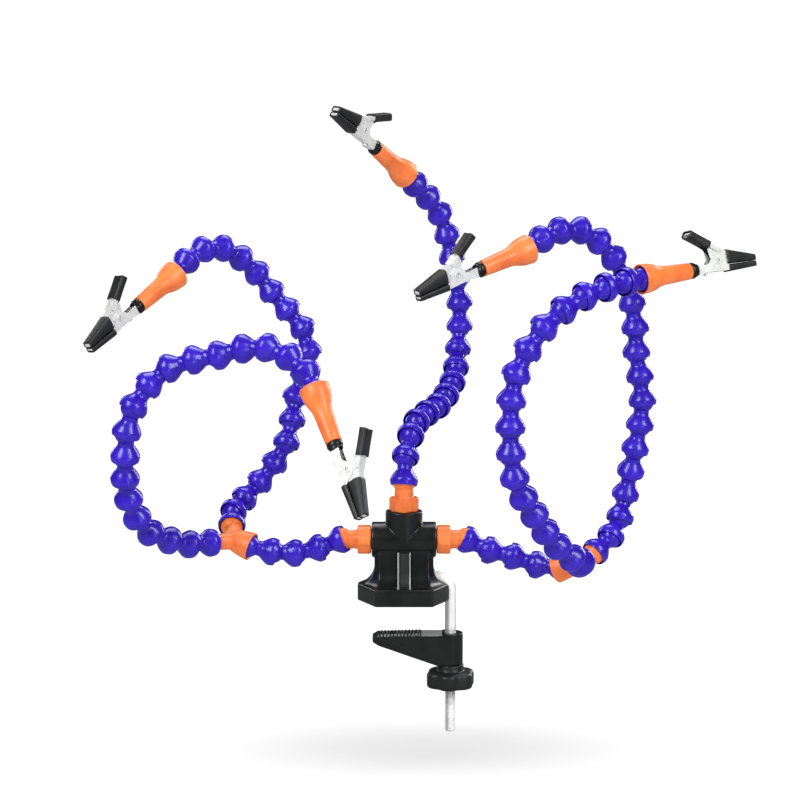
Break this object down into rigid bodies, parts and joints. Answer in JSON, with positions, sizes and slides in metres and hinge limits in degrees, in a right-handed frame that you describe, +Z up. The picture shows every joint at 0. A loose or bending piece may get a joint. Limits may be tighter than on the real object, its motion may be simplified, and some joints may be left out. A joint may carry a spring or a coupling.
{
  "type": "helping hands clamp",
  "caption": "Bench clamp with ball-and-socket flexible arms that branch through splitters, each arm ending in a tapered nozzle and a swivelling alligator clip.",
  "frame": {"origin": "centre of the flange's underside, the face that rests on the table top", "axes": "+Z up out of the table top; +X to the right along the two side ports, with the clamp rod on that side; -Y is the front"},
  "size_m": [0.3935, 0.2594, 0.3806],
  "materials": {
    "black_clamp_plastic": "moulded satin black",
    "steel_rod": "bright plated steel, threaded lower end",
    "orange_plastic": "smooth orange acetal",
    "blue_plastic": "glossy violet-blue acetal",
    "nickel_clip_steel": "nickel-plated pressed steel",
    "black_plug_plastic": "moulded black",
    "black_sleeve_vinyl": "soft black vinyl with a faint grain"
  },
  "bodies": {
    "clamp": {"clamp_body": "black_clamp_plastic", "clamp_rod": "steel_rod", "connector_left": "orange_plastic", "connector_top": "orange_plastic", "connector_right": "orange_plastic"},
    "lower_jaw": {"lower_jaw": "black_clamp_plastic"},
    "knob": {"clamp_knob": "black_clamp_plastic"},
    "stem_left": {"stem_left": "blue_plastic"},
    "stem_right": {"stem_right": "blue_plastic"},
    "y_splitter_left": {"y_splitter_left": "orange_plastic"},
    "y_splitter_right": {"y_splitter_right": "orange_plastic"},
    "arm_front_left_1": {"arm_front_left_1": "blue_plastic"},
    "arm_front_left_2": {"arm_front_left_2": "blue_plastic"},
    "arm_front_left_3": {"arm_front_left_3": "blue_plastic"},
    "nozzle_front_left": {"nozzle_front_left": "orange_plastic"},
    "clip_front_left": {"clip_plug_front_left": "black_plug_plastic", "clip_fixed_jaw_front_left": "nickel_clip_steel", "clip_fixed_cover_front_left": "black_sleeve_vinyl"},
    "clip_lever_front_left": {"clip_moving_jaw_front_left": "nickel_clip_steel", "clip_moving_cover_front_left": "black_sleeve_vinyl", "clip_handle_sleeve_front_left": "black_sleeve_vinyl"},
    "arm_rear_left_1": {"arm_rear_left_1": "blue_plastic"},
    "arm_rear_left_2": {"arm_rear_left_2": "blue_plastic"},
    "arm_rear_left_3": {"arm_rear_left_3": "blue_plastic"},
    "nozzle_rear_left": {"nozzle_rear_left": "orange_plastic"},
    "clip_rear_left": {"clip_plug_rear_left": "black_plug_plastic", "clip_fixed_jaw_rear_left": "nickel_clip_steel", "clip_fixed_cover_rear_left": "black_sleeve_vinyl"},
    "clip_lever_rear_left": {"clip_moving_jaw_rear_left": "nickel_clip_steel", "clip_moving_cover_rear_left": "black_sleeve_vinyl", "clip_handle_sleeve_rear_left": "black_sleeve_vinyl"},
    "arm_front_right_1": {"arm_front_right_1": "blue_plastic"},
    "arm_front_right_2": {"arm_front_right_2": "blue_plastic"},
    "arm_front_right_3": {"arm_front_right_3": "blue_plastic"},
    "nozzle_front_right": {"nozzle_front_right": "orange_plastic"},
    "clip_front_right": {"clip_plug_front_right": "black_plug_plastic", "clip_fixed_jaw_front_right": "nickel_clip_steel", "clip_fixed_cover_front_right": "black_sleeve_vinyl"},
    "clip_lever_front_right": {"clip_moving_jaw_front_right": "nickel_clip_steel", "clip_moving_cover_front_right": "black_sleeve_vinyl", "clip_handle_sleeve_front_right": "black_sleeve_vinyl"},
    "arm_rear_right_1": {"arm_rear_right_1": "blue_plastic"},
    "arm_rear_right_2": {"arm_rear_right_2": "blue_plastic"},
    "arm_rear_right_3": {"arm_rear_right_3": "blue_plastic"},
    "nozzle_rear_right": {"nozzle_rear_right": "orange_plastic"},
    "clip_rear_right": {"clip_plug_rear_right": "black_plug_plastic", "clip_fixed_jaw_rear_right": "nickel_clip_steel", "clip_fixed_cover_rear_right": "black_sleeve_vinyl"},
    "clip_lever_rear_right": {"clip_moving_jaw_rear_right": "nickel_clip_steel", "clip_moving_cover_rear_right": "black_sleeve_vinyl", "clip_handle_sleeve_rear_right": "black_sleeve_vinyl"},
    "arm_centre_1": {"arm_centre_1": "blue_plastic"},
    "arm_centre_2": {"arm_centre_2": "blue_plastic"},
    "nozzle_centre": {"nozzle_centre": "orange_plastic"},
    "clip_centre": {"clip_plug_centre": "black_plug_plastic", "clip_fixed_jaw_centre": "nickel_clip_steel", "clip_fixed_cover_centre": "black_sleeve_vinyl"},
    "clip_lever_centre": {"clip_moving_jaw_centre": "nickel_clip_steel", "clip_moving_cover_centre": "black_sleeve_vinyl", "clip_handle_sleeve_centre": "black_sleeve_vinyl"}
  },
  "joints": [
    {"name": "jaw_slide", "type": "slide", "parent": "clamp", "child": "lower_jaw", "axis": [0, 0, 1], "range_m": [-0.022, 0.019]},
    {"name": "knob_spin", "type": "hinge", "parent": "lower_jaw", "child": "knob", "pos_m": [0.0283, 0, -0.047], "axis": [0, 0, 1], "range_deg": [-7920, 6840]},
    {"name": "stem_left_bend", "type": "hinge", "parent": "clamp", "child": "stem_left", "pos_m": [-0.0377, 0, 0.0367], "axis": [-0.4336, -0.4164, 0.7991], "range_deg": [-12, 12]},
    {"name": "splitter_left_bend", "type": "hinge", "parent": "stem_left", "child": "y_splitter_left", "pos_m": [-0.09368, -0.0071, 0.03419], "axis": [-0.3132, -0.9497, 0.0027], "range_deg": [-12, 12]},
    {"name": "stem_right_bend", "type": "hinge", "parent": "clamp", "child": "stem_right", "pos_m": [0.0377, 0, 0.0367], "axis": [-0.4384, 0.0005, -0.8988], "range_deg": [-12, 12]},
    {"name": "splitter_right_bend", "type": "hinge", "parent": "stem_right", "child": "y_splitter_right", "pos_m": [0.0938, -0.00493, 0.02001], "axis": [-0.4039, -0.0598, 0.9128], "range_deg": [-12, 12]},
    {"name": "front_left_bend_1", "type": "hinge", "parent": "y_splitter_left", "child": "arm_front_left_1", "pos_m": [-0.116, -0.012, 0.037], "axis": [0.6357, -0.7455, 0.2001], "range_deg": [-18, 18]},
    {"name": "front_left_bend_2", "type": "hinge", "parent": "arm_front_left_1", "child": "arm_front_left_2", "pos_m": [-0.16001, -0.06329, 0.08434], "axis": [0.915, 0.392, 0.0957], "range_deg": [-18, 18]},
    {"name": "front_left_bend_3", "type": "hinge", "parent": "arm_front_left_2", "child": "arm_front_left_3", "pos_m": [-0.12004, -0.06767, 0.15346], "axis": [0.0316, -0.6599, -0.7507], "range_deg": [-18, 18]},
    {"name": "front_left_nozzle_tilt", "type": "hinge", "parent": "arm_front_left_3", "child": "nozzle_front_left", "pos_m": [-0.04905, -0.1032, 0.13985], "axis": [-0.275, 0.7738, -0.5706], "range_deg": [-20, 20]},
    {"name": "front_left_clip_swivel", "type": "hinge", "parent": "nozzle_front_left", "child": "clip_front_left", "pos_m": [-0.03847, -0.11859, 0.11387], "axis": [0.3308, -0.4811, -0.8119], "continuous": true},
    {"name": "rear_left_bend_1", "type": "hinge", "parent": "y_splitter_left", "child": "arm_rear_left_1", "pos_m": [-0.105, 0.012, 0.043], "axis": [0.9752, -0.0845, 0.2045], "range_deg": [-18, 18]},
    {"name": "rear_left_bend_2", "type": "hinge", "parent": "arm_rear_left_1", "child": "arm_rear_left_2", "pos_m": [-0.07004, 0.05462, 0.10152], "axis": [-0.7973, 0.5833, -0.1551], "range_deg": [-18, 18]},
    {"name": "rear_left_bend_3", "type": "hinge", "parent": "arm_rear_left_2", "child": "arm_rear_left_3", "pos_m": [-0.08234, 0.06352, 0.18131], "axis": [0.1722, -0.9837, -0.0511], "range_deg": [-18, 18]},
    {"name": "rear_left_nozzle_tilt", "type": "hinge", "parent": "arm_rear_left_3", "child": "nozzle_rear_left", "pos_m": [-0.13908, 0.01728, 0.19495], "axis": [-0.6107, -0.0588, 0.7897], "range_deg": [-20, 20]},
    {"name": "rear_left_clip_swivel", "type": "hinge", "parent": "nozzle_rear_left", "child": "clip_rear_left", "pos_m": [-0.15732, -0.00383, 0.17927], "axis": [-0.5698, -0.6598, -0.4899], "continuous": true},
    {"name": "front_right_bend_1", "type": "hinge", "parent": "y_splitter_right", "child": "arm_front_right_1", "pos_m": [0.104, -0.025, 0.027], "axis": [-0.5932, 0.201, 0.7795], "range_deg": [-18, 18]},
    {"name": "front_right_bend_2", "type": "hinge", "parent": "arm_front_right_1", "child": "arm_front_right_2", "pos_m": [0.06751, -0.08339, 0.07666], "axis": [0.7771, 0.34, 0.5296], "range_deg": [-18, 18]},
    {"name": "front_right_bend_3", "type": "hinge", "parent": "arm_front_right_2", "child": "arm_front_right_3", "pos_m": [0.06816, -0.09395, 0.16167], "axis": [0.7723, 0.275, -0.5727], "range_deg": [-18, 18]},
    {"name": "front_right_nozzle_tilt", "type": "hinge", "parent": "arm_front_right_3", "child": "nozzle_front_right", "pos_m": [0.13594, -0.06005, 0.199], "axis": [0.4679, -0.8746, 0.1275], "range_deg": [-20, 20]},
    {"name": "front_right_clip_swivel", "type": "hinge", "parent": "nozzle_front_right", "child": "clip_front_right", "pos_m": [0.16382, -0.04467, 0.2022], "axis": [0.8712, 0.4806, 0.1001], "continuous": true},
    {"name": "rear_right_bend_1", "type": "hinge", "parent": "y_splitter_right", "child": "arm_rear_right_1", "pos_m": [0.116, 0, 0.029], "axis": [0.7012, -0.1912, -0.6869], "range_deg": [-18, 18]},
    {"name": "rear_right_bend_2", "type": "hinge", "parent": "arm_rear_right_1", "child": "arm_rear_right_2", "pos_m": [0.1436, 0.01719, 0.10381], "axis": [0.3108, -0.9496, -0.0419], "range_deg": [-18, 18]},
    {"name": "rear_right_bend_3", "type": "hinge", "parent": "arm_rear_right_2", "child": "arm_rear_right_3", "pos_m": [0.13346, 0.01454, 0.19254], "axis": [-0.7786, -0.4188, -0.4673], "range_deg": [-18, 18]},
    {"name": "rear_right_nozzle_tilt", "type": "hinge", "parent": "arm_rear_right_3", "child": "nozzle_rear_right", "pos_m": [0.07102, -0.02398, 0.21301], "axis": [-0.5842, 0.6934, 0.4217], "range_deg": [-20, 20]},
    {"name": "rear_right_clip_swivel", "type": "hinge", "parent": "nozzle_rear_right", "child": "clip_rear_right", "pos_m": [0.04505, -0.04001, 0.20339], "axis": [-0.8116, -0.501, -0.3006], "continuous": true},
    {"name": "centre_bend_1", "type": "hinge", "parent": "clamp", "child": "arm_centre_1", "pos_m": [0, 0, 0.0722], "axis": [-0.2318, -0.9365, 0.2633], "range_deg": [-18, 18]},
    {"name": "centre_bend_2", "type": "hinge", "parent": "arm_centre_1", "child": "arm_centre_2", "pos_m": [0.03495, 0.10071, 0.14151], "axis": [-0.0697, -0.9428, 0.3261], "range_deg": [-12, 12]},
    {"name": "centre_nozzle_tilt", "type": "hinge", "parent": "arm_centre_2", "child": "nozzle_centre", "pos_m": [0.00008, 0.07112, 0.25492], "axis": [-0.0456, -0.5549, -0.8307], "range_deg": [-20, 20]},
    {"name": "centre_clip_swivel", "type": "hinge", "parent": "nozzle_centre", "child": "clip_centre", "pos_m": [-0.01691, 0.04901, 0.27062], "axis": [-0.5308, -0.691, 0.4907], "continuous": true},
    {"name": "front_left_clip_open", "type": "hinge", "parent": "clip_front_left", "child": "clip_lever_front_left", "pos_m": [-0.02954, -0.12876, 0.10013], "axis": [-0.498, -0.8197, 0.2829], "range_deg": [0, 28], "stiffness_Nm_per_rad": 0.08, "springref_deg": -68.75},
    {"name": "rear_left_clip_open", "type": "hinge", "parent": "clip_rear_left", "child": "clip_lever_rear_left", "pos_m": [-0.16944, -0.01737, 0.17283], "axis": [-0.7214, 0.6871, -0.0864], "range_deg": [0, 28], "stiffness_Nm_per_rad": 0.08, "springref_deg": -68.75},
    {"name": "front_right_clip_open", "type": "hinge", "parent": "clip_front_right", "child": "clip_lever_front_right", "pos_m": [0.17979, -0.03516, 0.20733], "axis": [0.4582, -0.8692, 0.1859], "range_deg": [0, 28], "stiffness_Nm_per_rad": 0.08, "springref_deg": -68.75},
    {"name": "rear_right_clip_open", "type": "hinge", "parent": "clip_rear_right", "child": "clip_lever_rear_right", "pos_m": [0.02879, -0.05006, 0.20083], "axis": [-0.5265, 0.8502, 0.0046], "range_deg": [0, 28], "stiffness_Nm_per_rad": 0.08, "springref_deg": -68.75},
    {"name": "centre_clip_open", "type": "hinge", "parent": "clip_centre", "child": "clip_lever_centre", "pos_m": [-0.02577, 0.03698, 0.28281], "axis": [-0.7621, 0.6425, 0.0804], "range_deg": [0, 28], "stiffness_Nm_per_rad": 0.08, "springref_deg": -68.75}
  ],
  "couplings": [
    {"joint": "knob_spin", "follows": "jaw_slide", "rad_per_m": 6283.2}
  ]
}
